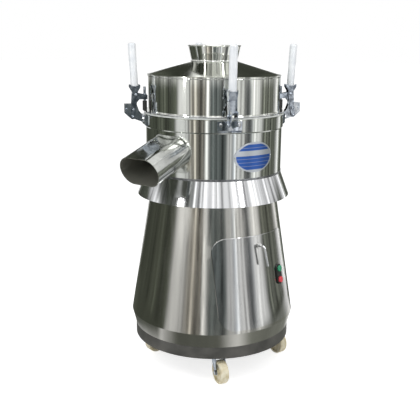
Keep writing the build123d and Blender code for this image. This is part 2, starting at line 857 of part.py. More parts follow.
lid_rim_top = cover_top + lid_rim_thickness
lid_neck_height = (hopper_neck_bottom + hopper_neck_top) / 2
with BuildPart() as cover_lid:
    with BuildSketch(Plane.XZ):
        lid_bore = hopper_neck_radius + fit_gap
        outline(
            (lid_rim_radius, cover_top),
            (lid_rim_radius, lid_rim_top),
            (lid_rim_radius - lid_rim_width / 2, lid_rim_top),
            (lid_bore, lid_neck_height + lid_wall),
            (lid_bore, lid_neck_height),
            (lid_rim_radius - lid_rim_width, cover_top),
        )
    revolve(axis=Axis.Z)
keep(cover_lid.part, "cover_lid")

with BuildPart() as hopper:
    with BuildSketch(Plane.XZ):
        outline(
            (hopper_neck_radius, hopper_neck_bottom),
            (hopper_neck_radius, hopper_neck_top),
            (hopper_top_radius, hopper_top - hopper_bead),
            (hopper_top_radius - hopper_wall, hopper_top - hopper_bead),
            (hopper_neck_radius - hopper_wall, hopper_neck_top),
            (hopper_neck_radius - hopper_wall, hopper_neck_bottom),
        )
    revolve(axis=Axis.Z)
    with BuildSketch(Plane.XZ):
        with Locations((hopper_top_radius - hopper_wall / 2, hopper_top - hopper_bead)):
            Circle(hopper_bead)
    revolve(axis=Axis.Z)
keep(hopper.part, "hopper")

# Toggle clamps. Layers across a clamp, from its middle: arm, bracket plates, handle plates, links
bracket_in = arm_half_width + layer_gap
bracket_out = bracket_in + bracket_plate
handle_in = bracket_out + layer_gap
handle_out = handle_in + clamp_plate
link_in = handle_out + layer_gap
link_out = link_in + clamp_plate
foot_back = collar_radius + weld_gap
foot_front = foot_back + clamp_foot_thickness
foot_turn = degrees(clamp_foot_width / foot_back)


def disc(centre, radius, mode=Mode.ADD):
    """Round spot in the sketch that is open."""
    with Locations(centre):
        Circle(radius, mode=mode)


def lever_plane(azimuth):
    """Plane across a handle's grip at its neck, its normal along the grip."""
    clamp = upright(azimuth)
    start = clamp.from_local_coords((handle_neck_distance, handle_neck, 0))
    along = clamp.x_dir * sin(radians(handle_lean)) + clamp.y_dir * cos(radians(handle_lean))
    return Plane(origin=start, x_dir=clamp.z_dir, z_dir=along)


with BuildPart() as clamp_brackets:
    for azimuth in clamp_azimuths:
        clamp = upright(azimuth)
        with BuildSketch(upright(azimuth - foot_turn / 2)):
            outline(
                (foot_back, clamp_foot_bottom),
                (foot_back, drum_top),
                (foot_front, drum_top),
                (foot_front, clamp_foot_bottom + clamp_foot_chamfer),
                (foot_front - clamp_foot_chamfer, clamp_foot_bottom),
            )
        revolve(axis=Axis.Z, revolution_arc=foot_turn)
        for side in (-1, 1):
            with BuildSketch(clamp.offset(side * bracket_in)):
                outline(
                    (foot_front - 1, clamp_foot_bottom + clamp_foot_chamfer + 4),
                    (foot_front - 1, drum_top - 2),
                    (arm_pivot[0] - 2 * lobe_radius, arm_pivot[1] - 2 * lobe_radius),
                    (arm_pivot[0] - lobe_radius, bracket_top),
                    (bracket_end, bracket_top),
                    (bracket_end, bracket_heel),
                    (link_pivot[0] + lobe_radius, link_pivot[1] - lobe_radius / 2),
                    (link_pivot[0] - lobe_radius, link_pivot[1] - lobe_radius),
                )
                disc(arm_pivot, lobe_radius)
                disc(link_pivot, lobe_radius)
            extrude(amount=side * bracket_plate)
            with BuildSketch(clamp.offset(side * bracket_in)):
                disc(link_pivot, pivot_radius)
            extrude(amount=side * (link_out - bracket_in))
        with BuildSketch(clamp):
            disc(arm_pivot, pivot_radius)
        extrude(amount=bracket_out, both=True)
keep(clamp_brackets.part, "clamp_brackets")

for k, azimuth in enumerate(clamp_azimuths, start=1):
    clamp = upright(azimuth)
    lever = lever_plane(azimuth)
    spindle_foot = clamp.from_local_coords((spindle_distance, 0, 0))

    with BuildPart() as clamp_arm:
        with BuildSketch(clamp):
            disc(arm_pivot, lobe_radius)
            disc(handle_pivot, lobe_radius)
            make_hull()
            outline(
                (spindle_distance - spindle_nut_radius - 1, arm_bar_bottom),
                (spindle_distance - spindle_nut_radius - 1, arm_bar_top),
                (handle_pivot[0], handle_pivot[1] + lobe_radius),
                (handle_pivot[0] + lobe_radius / 2, arm_bar_bottom),
                (arm_pivot[0] - lobe_radius + 1, arm_pivot[1] + lobe_radius),
                (handle_pivot[0] - lobe_radius - 4, arm_bar_bottom),
            )
        extrude(amount=arm_half_width, both=True)
        with BuildSketch(clamp):
            with Locations((spindle_distance, arm_bar_bottom)):
                Rectangle(
                    2 * (handle_pivot[0] - lobe_radius - 4 - spindle_distance),
                    2 * (arm_bar_top - arm_bar_bottom - bracket_plate),
                )
        extrude(amount=arm_half_width - bracket_plate, both=True, mode=Mode.SUBTRACT)
        with BuildSketch(clamp):
            disc(arm_pivot, pivot_radius + running_gap)
            disc(handle_pivot, pivot_radius + running_gap)
        extrude(amount=arm_half_width, both=True, mode=Mode.SUBTRACT)
        with BuildSketch(Plane(spindle_foot).offset(pad_socket_bottom)):
            Circle(spindle_radius)
        extrude(amount=spindle_top - pad_socket_bottom)
        for z in (arm_bar_top, arm_bar_top - bracket_plate - spindle_nut_height):
            with BuildSketch(Plane(spindle_foot).offset(z)):
                RegularPolygon(spindle_nut_radius - 1, 6)
            extrude(amount=spindle_nut_height)
    keep(clamp_arm.part, f"clamp_arm_{k}")

    with BuildPart() as clamp_pad:
        with BuildSketch(Plane(spindle_foot).offset(cover_flange_top + part_gap)):
            Circle(pad_radius)
        extrude(amount=pad_height - part_gap)
        with BuildSketch(Plane(spindle_foot).offset(pad_socket_bottom)):
            Circle(spindle_radius + fit_gap)
        extrude(amount=pad_top - pad_socket_bottom, mode=Mode.SUBTRACT)
    keep(clamp_pad.part, f"clamp_pad_{k}")

    with BuildPart() as clamp_handle:
        for side in (-1, 1):
            with BuildSketch(clamp.offset(side * handle_in)):
                disc(link_eye, lobe_radius - 1)
                disc(handle_pivot, lobe_radius)
                disc((handle_neck_distance, handle_neck - lobe_radius), lobe_radius)
                make_hull()
                for wing in (-1, 1):
                    outline(
                        (handle_neck_distance, handle_neck - 2.5 * lobe_radius),
                        (handle_neck_distance + wing * lobe_radius, handle_neck - 2.5 * lobe_radius),
                        (handle_neck_distance + wing * wing_reach, handle_neck - 2),
                        (handle_neck_distance + wing * wing_reach, handle_neck + wing_rise),
                        (handle_neck_distance + wing * (grip_radius + 1), handle_neck + wing_rise),
                        (handle_neck_distance, handle_neck - lobe_radius),
                    )
            extrude(amount=side * clamp_plate)
            with BuildSketch(clamp.offset(side * handle_in)):
                disc(link_eye, eye_pin_radius)
            extrude(amount=side * (link_out - handle_in))
        with BuildSketch(clamp):
            with Locations((handle_neck_distance, handle_neck - lobe_radius / 2)):
                Rectangle(2 * lobe_radius, lobe_radius)
        extrude(amount=handle_in + 0.5, both=True)
        with BuildSketch(clamp):
            disc(handle_pivot, pivot_radius)
        extrude(amount=handle_out, both=True)
        with BuildSketch(clamp):
            web = handle_pivot[0] + lobe_radius + 1
            outline(
                (web, handle_pivot[1] + 3),
                (web + clamp_plate, handle_pivot[1] + 3),
                (handle_neck_distance + lobe_radius, handle_neck),
                (handle_neck_distance + lobe_radius - clamp_plate, handle_neck),
            )
        extrude(amount=handle_in + 0.5, both=True)
        with BuildSketch(lever):
            Circle(handle_rod_radius)
        extrude(amount=handle_top - handle_neck - grip_end)
    keep(clamp_handle.part, f"clamp_handle_{k}")

    with BuildPart() as clamp_grip:
        with BuildSketch(lever.offset(clamp_plate)):
            Circle(grip_radius)
        extrude(amount=handle_top - handle_neck - clamp_plate)
        top_edge = clamp_grip.edges().filter_by(GeomType.CIRCLE).sort_by(Axis.Z)[-1]
        fillet(top_edge, grip_radius / 2)
        with BuildSketch(lever):
            Circle(handle_rod_radius + fit_gap)
        extrude(amount=handle_top - handle_neck - grip_end + fit_gap, mode=Mode.SUBTRACT)
    keep(clamp_grip.part, f"clamp_grip_{k}")

    with BuildPart() as clamp_link:
        for side in (-1, 1):
            with BuildSketch(clamp.offset(side * link_in)):
                disc(link_pivot, lobe_radius - 1)
                disc(link_eye, lobe_radius)
                make_hull()
                disc(link_pivot, pivot_radius + running_gap, Mode.SUBTRACT)
                disc(link_eye, eye_pin_radius + eye_clearance, Mode.SUBTRACT)
            extrude(amount=side * clamp_plate)
    keep(clamp_link.part, f"clamp_link_{k}")
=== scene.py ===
import random
from math import cos, pi, radians, sin, sqrt, tan

import bmesh
import bpy
from mathutils import Matrix, Vector


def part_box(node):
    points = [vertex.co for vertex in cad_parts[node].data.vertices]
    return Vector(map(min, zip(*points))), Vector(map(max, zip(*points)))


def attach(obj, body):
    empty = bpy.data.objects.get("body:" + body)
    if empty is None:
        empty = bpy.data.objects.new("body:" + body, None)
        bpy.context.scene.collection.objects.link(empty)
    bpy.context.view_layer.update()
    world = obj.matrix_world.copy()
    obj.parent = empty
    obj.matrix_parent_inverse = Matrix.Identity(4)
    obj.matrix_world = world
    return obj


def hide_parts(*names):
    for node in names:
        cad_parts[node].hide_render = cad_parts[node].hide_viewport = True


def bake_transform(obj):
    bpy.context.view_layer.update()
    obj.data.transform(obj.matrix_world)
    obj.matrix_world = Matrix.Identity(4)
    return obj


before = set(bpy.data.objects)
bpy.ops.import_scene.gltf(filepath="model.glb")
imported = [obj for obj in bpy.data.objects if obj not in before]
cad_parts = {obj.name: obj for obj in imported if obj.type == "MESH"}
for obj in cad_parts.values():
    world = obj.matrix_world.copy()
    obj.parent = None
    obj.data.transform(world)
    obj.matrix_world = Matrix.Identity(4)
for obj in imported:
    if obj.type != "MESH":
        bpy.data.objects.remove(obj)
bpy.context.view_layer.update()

# A small round sieve: buffed screen drum and cover, white-gripped toggle clamps, satin stand on casters.
# Metres, +Z up, front towards -Y. An azimuth is in degrees from the front towards +X.

MM = 0.001
# Blender's wave texture repeats every WAVE / scale metres.
WAVE = 2 * pi / 20

# Sizes of the machine, in millimetres and degrees
CLAMPS = (12, 102, 192, 282)
FINE_SPOUT = dict(azimuth=-37.5, root=728, tip=352, wide=150, tall=88, slope=19)
COARSE_SPOUT = dict(azimuth=167, root=880, tip=352, wide=150, tall=64, slope=19)
SPOUT_WALL = 2
DRUM_RADIUS = 219
COVER_RADIUS = 211
LID_TOP = 990
HOPPER_NECK = 73
NAMEPLATE = dict(azimuth=34.8, height=714, half_width=70.2, turn=17.9)
STAND_WIDEST = dict(radius=270, height=174)
STAND_TAPER = 9.02
SPRINGS = dict(count=6, circle=165, coil=15, wire=2.4, turns=4, low=596.7, high=641.3)
DOOR = dict(azimuth=38.5, wide=294, low=184, high=469, corner=45, skin=2.1)
LID_RIM = 944.2
FLANGE = dict(radius=225, height=836)
FOOT_SCREWS = dict(front=231.2, height=814, aside=27.5, across=8, head=3.2, washer=6.0)
# Welds and the flange's rolled edge: how thick, and how much their width wavers
SPOUT_WELD = dict(radius_mm=1.6, ripple=0.18)
HOPPER_WELD = dict(radius_mm=1.3, ripple=0.15)
LID_WELD = dict(radius_mm=1.4, ripple=0.25)
FLANGE_ROLL = dict(radius_mm=1.9, ripple=0.1)
PLATE_RIVET = dict(radius=2.2, height=1.2)
# A clamp's pins in its side view: how far out from the machine's axis, and how high
ARM_PIN = (256.9, 852.6)
LINK_PIN = (262.2, 818.5)
HANDLE_PIN = (251.4, 886.9)
EYE_PIN = (259.4, 841.3)
BRACKET_RIVET = (281, 843)
# Half the distance between a pin's two heads: at the bracket, the handle and the links
BRACKET_HALF = 10.8
HANDLE_HALF = 13.1
LINK_HALF = 15.4
# Radii of the pins' heads, and how far each stands out
PIN_HEAD = 4.6
EYE_HEAD = 4.0
RIVET_HEAD = 3.2
HEAD_HEIGHT = 1.6


def spout_axes(azimuth, root, tip, wide, tall, slope):
    """The middle of a spout's mouth, and its directions: level, up and out along the tube."""
    a, t = radians(azimuth), radians(slope)
    out = Vector((cos(t) * sin(a), -cos(t) * cos(a), -sin(t)))
    level = Vector((cos(a), sin(a), 0))
    mouth = Vector((tip * sin(a), -tip * cos(a), root - (tip - DRUM_RADIUS) * tan(t)))
    return mouth, level, out.cross(level), out


# Colours and materials
def linear(hex_colour):
    """An sRGB hex colour as linear red, green, blue and alpha."""
    channels = [int(hex_colour[i:i + 2], 16) / 255 for i in (1, 3, 5)]
    return [c / 12.92 if c <= 0.04045 else ((c + 0.055) / 1.055) ** 2.4 for c in channels] + [1.0]


def add(tree, kind, settings=None, links=None):
    """Adds a node, sets its properties, and sets or links its inputs."""
    node = tree.nodes.new(kind)
    for name, value in (settings or {}).items():
        setattr(node, name, value)
    for name, value in (links or {}).items():
        if isinstance(value, bpy.types.NodeSocket):
            tree.links.new(value, node.inputs[name])
        else:
            node.inputs[name].default_value = value
    return node


def start(name, **shader_values):
    """A new material, its node tree and its shader with the values that are the same all over."""
    material = bpy.data.materials.new(name)
    material.use_nodes = True
    tree = material.node_tree
    shader = tree.nodes["Principled BSDF"]
    for socket, value in shader_values.items():
        shader.inputs[socket.replace("_", " ")].default_value = value
    return material, tree, shader


def on_axis(tree, radius_mm, stretch):
    """Where a point lies on sheet rolled round the machine's axis, with heights shrunk by stretch."""
    place = add(tree, "ShaderNodeTexCoord").outputs["Object"]
    parts = add(tree, "ShaderNodeSeparateXYZ", None, {0: place}).outputs
    flat = add(tree, "ShaderNodeCombineXYZ", None, {0: parts[0], 1: parts[1]}).outputs[0]
    outward = add(tree, "ShaderNodeVectorMath", {"operation": "NORMALIZE"}, {0: flat}).outputs[0]
    rolled = {0: outward, 3: radius_mm * MM}
    arc = add(tree, "ShaderNodeVectorMath", {"operation": "SCALE"}, rolled).outputs[0]
    height = add(tree, "ShaderNodeMath", {"operation": "MULTIPLY"}, {0: parts[2], 1: stretch}).outputs[0]
    lift = add(tree, "ShaderNodeCombineXYZ", None, {2: height}).outputs[0]
    return add(tree, "ShaderNodeVectorMath", {"operation": "ADD"}, {0: arc, 1: lift}).outputs[0]


# Most of a noise's values lie between these.
PATCH_RANGE = (0.35, 0.65)
SMEAR_RANGE = (0.3, 0.7)


def uneven(tree, shader, place, dark, pale, patch_mm, rough, gloss_mm, dent, dent_mm):
    """Colour and gloss that drift from patch to patch, and a surface that isn't quite flat."""
    patch = {"Vector": place, "Scale": 1 / (patch_mm * MM), "Detail": 3.0}
    patches = add(tree, "ShaderNodeTexNoise", None, patch)
    low, high = PATCH_RANGE
    share = add(tree, "ShaderNodeMapRange", None, {0: patches.outputs[0], 1: low, 2: high})
    colours = {0: share.outputs[0], 6: linear(dark), 7: linear(pale)}
    tone = add(tree, "ShaderNodeMix", {"data_type": "RGBA"}, colours)
    smear = {"Vector": place, "Scale": 1 / (gloss_mm * MM), "Detail": 3.0}
    smears = add(tree, "ShaderNodeTexNoise", None, smear)
    low, high = SMEAR_RANGE
    least, most = rough
    spread = {0: smears.outputs[0], 1: low, 2: high, 3: least, 4: most}
    gloss = add(tree, "ShaderNodeMapRange", None, spread)
    hollow = {"Vector": place, "Scale": 1 / (dent_mm * MM), "Detail": 0.0}
    dents = add(tree, "ShaderNodeTexNoise", None, hollow)
    skin = add(tree, "ShaderNodeBump", None, {"Height": dents.outputs[0], "Distance": dent * MM})
    tree.links.new(tone.outputs[2], shader.inputs["Base Color"])
    tree.links.new(gloss.outputs[0], shader.inputs["Roughness"])
    tree.links.new(skin.outputs[0], shader.inputs["Normal"])
    return tone, gloss


# Buffing leaves smears this wide, rolling leaves ripples this far apart, and the colour is painted in bands
# this
# wide, all in millimetres: painted reflection streaks mixed with random tone. Heights shrink to TALL_SHARE,
# so that the smears and the painted bands stand tall.
SMEAR_WIDTH = 14
RIPPLE_PITCH = 60
PAINTED_STREAK_WIDTH = 90
TALL_SHARE = 0.12


def buffed_stainless(name, radius_mm, dark, pale, rough, ripple):
    """Stainless 304 sheet, rolled, welded and buffed: it mirrors the room in bands that its ripples bend. Its
    colour also has tall painted reflection streaks, mixed with random tone.
    """
    material, tree, shader = start(name, Metallic=1.0)
    tall = on_axis(tree, radius_mm, TALL_SHARE)
    # The tall bands of colour are painted reflection streaks, mixed with random tone.
    uneven(tree, shader, tall, dark, pale, PAINTED_STREAK_WIDTH, rough, SMEAR_WIDTH, ripple, RIPPLE_PITCH)
    return material


def loose(name, dark, pale, patch_mm, rough, dent, dent_mm, **shader_values):
    """A small part's material, the same in every direction."""
    material, tree, shader = start(name, **shader_values)
    place = add(tree, "ShaderNodeTexCoord").outputs["Object"]
    uneven(tree, shader, place, dark, pale, patch_mm, rough, patch_mm / 2, dent, dent_mm)
    return material


# The green-grey cast is the workshop's; the drum's bands are crisp.
drum_sheet = buffed_stainless("buffed_stainless_drum", 215, "#b4b7b2", "#cfd1cd", (0.04, 0.12), 1.0)
# The cover's thinner sheet ripples more, so its bands waver.
cover_sheet = buffed_stainless("buffed_stainless_cover", 211, "#bfc1bb", "#dcddd8", (0.04, 0.11), 1.5)
# The skirt's stainless is a lighter copy of the same sheet, painted brighter as if more lit, so it is the
# brightest.
painted_bright_stainless = buffed_stainless("painted_bright_stainless_skirt", 235, "#c2c3c5", "#e0e1e2", (0.05, 0.14), 1.2)
# The stand is ground to a satin before it is buffed, so its bands are softer.
stand_sheet = buffed_stainless("satin_buffed_stainless_stand", 240, "#a9a8a3", "#c8c7c1", (0.09, 0.2), 1.2)
door_sheet = buffed_stainless("satin_buffed_stainless_door", 250, "#abacaa", "#cacac8", (0.08, 0.18), 1.5)
# Stainless lid and rings, spun and buffed: the dark workshop lies in them in wide soft shapes.
lid_steel = buffed_stainless("spun_stainless_lid", 120, "#a5a79f", "#c6c8c0", (0.06, 0.17), 1.6)

# Pressed steel, zinc plated: cool grey, bright on its flats and a little cloudy.
clamp_zinc = loose("bright_zinc_plated_steel", "#848b95", "#b9c0c8", 16, (0.05, 0.16), 0.06, 9, Metallic=1.0)
# The clamps' feet and brackets are stainless, buffed with the drum, so they take its tones.
bracket_sheet = loose(
    "buffed_stainless_bracket", "#aab0b8", "#d3d7db", 20, (0.05, 0.15), 0.08, 14, Metallic=1.0
)
# Mild steel, turned and milled, oiled: dull grey.
inner_steel = loose("oiled_machined_steel", "#6d6e70", "#96989b", 12, (0.3, 0.45), 0.02, 2, Metallic=1.0)
# Stove enamel on steel, dark grey: soft sheen, dusty patches and the faint pebble of spray.
base_paint = loose("dark_grey_stove_enamel", "#454542", "#585753", 60, (0.34, 0.5), 0.02, 1.5, Metallic=0.0)
# Cast iron, sprayed blue-grey: pebbly casting skin under the paint.
iron_paint = loose("painted_cast_iron", "#3f4a57", "#566373", 40, (0.4, 0.6), 0.12, 2.5, Metallic=0.0)
# Nylon 6, cast, cream with age: waxy, scuffed on the tread.
wheel_nylon = loose("cream_cast_nylon", "#cdc09a", "#e9e2ca", 14, (0.35, 0.6), 0.05, 1.2, IOR=1.53)
# PVC tube, extruded, pearl white: clean gloss.
grip_tube = loose("pearl_white_pvc_tube", "#dfe3e7", "#eceff1", 30, (0.16, 0.28), 0.03, 3, IOR=1.53)
# Natural rubber, moulded, black: matte.
pad_rubber = loose("black_moulded_rubber", "#121212", "#232322", 6, (0.55, 0.75), 0.05, 0.8, IOR=1.52)
# Silicone, extruded, milky: soft sheen.
seal_silicone = loose("milky_silicone_seal", "#bfc3c0", "#dadcd9", 12, (0.4, 0.55), 0.05, 1, IOR=1.43)
# ABS, moulded: satin black bezel, glossy coloured caps.
bezel_abs = loose("satin_black_abs", "#101211", "#1d1f1e", 8, (0.35, 0.5), 0.03, 0.8, IOR=1.54)
green_abs = loose("green_gloss_abs", "#2f8f68", "#3aa278", 8, (0.18, 0.3), 0.02, 2, IOR=1.54)
red_abs = loose("red_gloss_abs", "#d8404c", "#e65560", 8, (0.18, 0.3), 0.02, 2, IOR=1.54)


# The film of powder in a spout is dull, and hides about a third of the metal.
FILM_ROUGHNESS = 0.38
FILM_METAL = 0.65


def spout_stainless():
    """Stainless tube, bent and buffed outside; inside it is left as rolled, with a dry film of powder."""
    material, tree, shader = start("buffed_stainless_spout", Metallic=1.0)
    place = add(tree, "ShaderNodeTexCoord").outputs["Object"]
    tone, gloss = uneven(tree, shader, place, "#aeb0ac", "#cdcfcb", 60, (0.06, 0.18), 14, 0.8, 45)
    inside = 0
    for spout in (FINE_SPOUT, COARSE_SPOUT):
        mouth, level, up, _ = spout_axes(**spout)
        from_mouth = {0: place, 1: mouth * MM}
        offset = add(tree, "ShaderNodeVectorMath", {"operation": "SUBTRACT"}, from_mouth).outputs[0]
        along = {"operation": "DOT_PRODUCT"}
        across = add(tree, "ShaderNodeVectorMath", along, {0: offset, 1: level}).outputs["Value"]
        height = add(tree, "ShaderNodeVectorMath", along, {0: offset, 1: up}).outputs["Value"]
        away = add(tree, "ShaderNodeMath", {"operation": "ABSOLUTE"}, {0: across}).outputs[0]
        flat_half = (spout["wide"] - spout["tall"]) / 2 * MM
        past_flat = {"operation": "SUBTRACT", "use_clamp": True}
        bend = add(tree, "ShaderNodeMath", past_flat, {0: away, 1: flat_half})
        spread = add(tree, "ShaderNodeCombineXYZ", None, {0: bend.outputs[0], 1: height}).outputs[0]
        reach = add(tree, "ShaderNodeVectorMath", {"operation": "LENGTH"}, {0: spread}).outputs["Value"]
        middle = (spout["tall"] - SPOUT_WALL) / 2 * MM
        within = add(tree, "ShaderNodeMath", {"operation": "LESS_THAN"}, {0: reach, 1: middle}).outputs[0]
        inside = add(tree, "ShaderNodeMath", {"operation": "MAXIMUM"}, {0: inside, 1: within}).outputs[0]
    dusty = {0: inside, 6: tone.outputs[2], 7: linear("#a0a096")}
    shade = add(tree, "ShaderNodeMix", {"data_type": "RGBA"}, dusty)
    film = add(tree, "ShaderNodeMix", None, {0: inside, 2: gloss.outputs[0], 3: FILM_ROUGHNESS})
    tree.links.new(shade.outputs[2], shader.inputs["Base Color"])
    tree.links.new(film.outputs[0], shader.inputs["Roughness"])
    metal = add(tree, "ShaderNodeMapRange", None, {0: inside, 3: 1.0, 4: FILM_METAL})
    tree.links.new(metal.outputs[0], shader.inputs["Metallic"])
    return material


# Coarser than the real cloth, so that the wires show
WIRE_PITCH = 1.5


def woven_mesh():
    """Stainless wire cloth, woven: a bright grid over holes painted dark, as painted shade of what lies under
    the cloth.
    """
    material, tree, shader = start("woven_stainless_wire", Metallic=1.0, Roughness=0.3)
    place = add(tree, "ShaderNodeTexCoord").outputs["Object"]
    wires = 0
    for way in ("X", "Y"):
        lines = {"Vector": place, "Scale": WAVE / (WIRE_PITCH * MM)}
        wave = add(tree, "ShaderNodeTexWave", {"bands_direction": way}, lines)
        both = {0: wires, 1: wave.outputs["Fac"]}
        wires = add(tree, "ShaderNodeMath", {"operation": "MAXIMUM"}, both).outputs[0]
    share = add(tree, "ShaderNodeMapRange", None, {0: wires, 1: 0.4, 2: 0.8}).outputs[0]
    # The dark between the wires is painted shade, seen through the holes.
    colours = {0: share, 6: linear("#3c3c3a"), 7: linear("#c4c4c0")}
    tone = add(tree, "ShaderNodeMix", {"data_type": "RGBA"}, colours)
    weave = add(tree, "ShaderNodeBump", None, {"Height": wires, "Distance": 0.2 * MM, "Strength": 0.8})
    tree.links.new(tone.outputs[2], shader.inputs["Base Color"])
    tree.links.new(weave.outputs[0], shader.inputs["Normal"])
    return material


# The blue starts and stops at these shares of the plate's height. The rim starts at this share of the way
# from the plate's middle, and the pale rules are this many millimetres apart.
PLATE_BANDS = (0.09, 0.55, 0.72, 0.93)
PLATE_RIM = 0.91
RULE_PITCH = 11


def printed_plate():
    """Anodised aluminium plate, screen printed: plain silver and blue bands inside a silver rim."""
    material, tree, shader = start("anodised_printed_plate", Metallic=0.6, Roughness=0.3)
    low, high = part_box("nameplate")
    place = add(tree, "ShaderNodeTexCoord").outputs["Object"]
    height = add(tree, "ShaderNodeSeparateXYZ", None, {0: place}).outputs[2]
    share = add(tree, "ShaderNodeMapRange", None, {0: height, 1: low.z, 2: high.z}).outputs[0]
    silver, blue = linear("#b3b8be"), linear("#2f57a2")
    tone = silver
    for edge, colour in zip(PLATE_BANDS, (blue, silver, blue, silver)):
        above = add(tree, "ShaderNodeMath", {"operation": "GREATER_THAN"}, {0: share, 1: edge}).outputs[0]
        tone = add(tree, "ShaderNodeMix", {"data_type": "RGBA"}, {0: above, 6: tone, 7: colour}).outputs[2]
    # Pale rules break the blue as a form's lines would.
    lines = {"Vector": place, "Scale": WAVE / (RULE_PITCH * MM)}
    rules = add(tree, "ShaderNodeTexWave", {"bands_direction": "Z"}, lines)
    peaks = {0: rules.outputs["Fac"], 1: 0.9, 2: 1.0, 4: 0.45}
    thin = add(tree, "ShaderNodeMapRange", None, peaks).outputs[0]
    ruled = add(tree, "ShaderNodeMix", {"data_type": "RGBA"}, {0: thin, 6: tone, 7: silver}).outputs[2]
    # How far a point is from the plate's middle, as a share of the way to its rim
    a = radians(NAMEPLATE["azimuth"])
    level = Vector((cos(a), sin(a), 0))
    along = {0: place, 1: level}
    across = add(tree, "ShaderNodeVectorMath", {"operation": "DOT_PRODUCT"}, along).outputs["Value"]
    half_width = NAMEPLATE["half_width"] * MM
    sideways = add(tree, "ShaderNodeMath", {"operation": "DIVIDE"}, {0: across, 1: half_width}).outputs[0]
    upward = add(tree, "ShaderNodeMapRange", {"clamp": False}, {0: share, 3: -1.0, 4: 1.0}).outputs[0]
    spread = add(tree, "ShaderNodeCombineXYZ", None, {0: sideways, 1: upward}).outputs[0]
    reach = add(tree, "ShaderNodeVectorMath", {"operation": "LENGTH"}, {0: spread}).outputs["Value"]
    rim = add(tree, "ShaderNodeMath", {"operation": "GREATER_THAN"}, {0: reach, 1: PLATE_RIM}).outputs[0]
    framed = add(tree, "ShaderNodeMix", {"data_type": "RGBA"}, {0: rim, 6: ruled, 7: silver}).outputs[2]
    tree.links.new(framed, shader.inputs["Base Color"])
    return material


spout_sheet = spout_stainless()
wire_cloth = woven_mesh()
plate_print = printed_plate()

EACH = range(1, 5)
dress = {
    drum_sheet: ["discharge_drum"],
    cover_sheet: ["cover_drum", "hopper"],
    spout_sheet: ["fine_spout", "coarse_spout"],
    # The latch takes the skirt's lighter copy of the stainless, painted brighter as if more lit.
    painted_bright_stainless: ["skirt", "door_latch"],
    stand_sheet: ["cone_shell"],
    door_sheet: ["access_door"],
    lid_steel: ["cover_lid", "screen_ring", "drum_floor"],
    bracket_sheet: ["clamp_brackets"],
    clamp_zinc: ["caster_plates"] + [f"caster_fork_{k}" for k in EACH]
    + [f"clamp_{part}_{k}" for part in ("arm", "handle", "link") for k in EACH],
    inner_steel: ["spring_deck", "suspension_plate", "springs", "motor_shaft", "main_shaft", "bearings"],
    base_paint: ["base_frame"],
    iron_paint: ["motor_body", "bearing_housing", "upper_weight", "lower_weight"],
    wheel_nylon: [f"caster_wheel_{k}" for k in EACH],
    grip_tube: [f"clamp_grip_{k}" for k in EACH],
    pad_rubber: [f"clamp_pad_{k}" for k in EACH] + ["coupling_spider"],
    seal_silicone: ["cover_seal"],
    bezel_abs: ["button_station"],
    green_abs: ["start_button"],
    red_abs: ["stop_button"],
    wire_cloth: ["screen_mesh"],
    plate_print: ["nameplate"],
}
for material, nodes in dress.items():
    for node in nodes:
        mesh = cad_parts[node].data
        mesh.materials.clear()
        mesh.materials.append(material)


# Small pieces on the solids
def facing(azimuth, radius_mm, height_mm):
    """Placement on a point that faces outwards: X runs level, Y up, Z out of the surface."""
    a = radians(azimuth)
    out = Vector((sin(a), -cos(a), 0))
    level = Vector((cos(a), sin(a), 0))
    turn = Matrix((level, out.cross(level), out)).transposed().to_4x4()
    return Matrix.Translation((out * radius_mm + Vector((0, 0, height_mm))) * MM) @ turn


def side_on(azimuth):
    """Placement of a clamp's side view from the machine's axis: X outwards, Y up and Z along its pins."""
    a = radians(azimuth)
    out, up = Vector((sin(a), -cos(a), 0)), Vector((0, 0, 1))
    return Matrix((out, up, out.cross(up))).transposed().to_4x4()


def lathe(shape, place, profile, sides=24):
    """Turns a profile of (radius, height) millimetres round the placement's Z."""
    rings = []
    for radius, height in profile:
        if radius == 0:
            rings.append([shape.verts.new(place @ Vector((0, 0, height * MM)))])
            continue
        ring = []
        for k in range(sides):
            a = 2 * pi * k / sides
            ring.append(shape.verts.new(place @ (Vector((radius * cos(a), radius * sin(a), height)) * MM)))
        rings.append(ring)
    for low, high in zip(rings, rings[1:]):
        for k in range(sides):
            n = (k + 1) % sides
            if len(low) == 1:
                shape.faces.new((low[0], high[k], high[n]))
            elif len(high) == 1:
                shape.faces.new((low[k], low[n], high[0]))
            else:
                shape.faces.new((low[k], low[n], high[n], high[k]))


def hex_bolt(shape, place, across, head, washer):
    """Washer and six-sided head with its corners turned down."""
    thick, rim = 1.4, 0.8
    lathe(shape, place, [(0, 0), (washer, 0), (washer, rim), (washer - 0.6, thick), (0, thick)])
    corner = across / 2 / cos(pi / 6)
    shoulder = head - 0.9
    up = place @ Matrix.Translation((0, 0, thick * MM))
    lathe(shape, up, [(0, 0), (corner, 0), (corner, shoulder), (corner - 1.0, head), (0, head)], sides=6)


def rivet(shape, place, radius, height):
    """Domed head."""
    steps = 5
    arcs = [k * pi / 2 / steps for k in range(steps)]
    profile = [(radius * cos(a), height * sin(a)) for a in arcs]
    lathe(shape, place, [(0, 0)] + profile + [(0, height)], sides=20)


def bead(shape, path, radius_mm, ripple=0.0, closed=True):
    """Round bead along points, its width rippled as a weld's is."""
    sides = 8
    rings = []
    count = len(path)
    for i, point in enumerate(path):
        ahead = path[(i + 1) % count] if closed or i + 1 < count else point
        behind = path[i - 1] if closed or i else point
        along = (ahead - behind).normalized()
        side = along.cross(Vector((0, 0, 1)) if abs(along.z) < 0.9 else Vector((1, 0, 0))).normalized()
        up = side.cross(along)
        reach = radius_mm * MM * (1 + ripple * sin(i * 1.9))
        rings.append([shape.verts.new(point + (side * cos(a) + up * sin(a)) * reach)
                      for a in (2 * pi * k / sides for k in range(sides))])
    for i in range(count if closed else count - 1):
        one, two = rings[i], rings[(i + 1) % count]
        for k in range(sides):
            n = (k + 1) % sides
            shape.faces.new((one[k], one[n], two[n], two[k]))
    if not closed:
        shape.faces.new(rings[0])
        shape.faces.new(rings[-1][::-1])


# Edges sharper than this stay crisp.
CRISP_ANGLE = 35


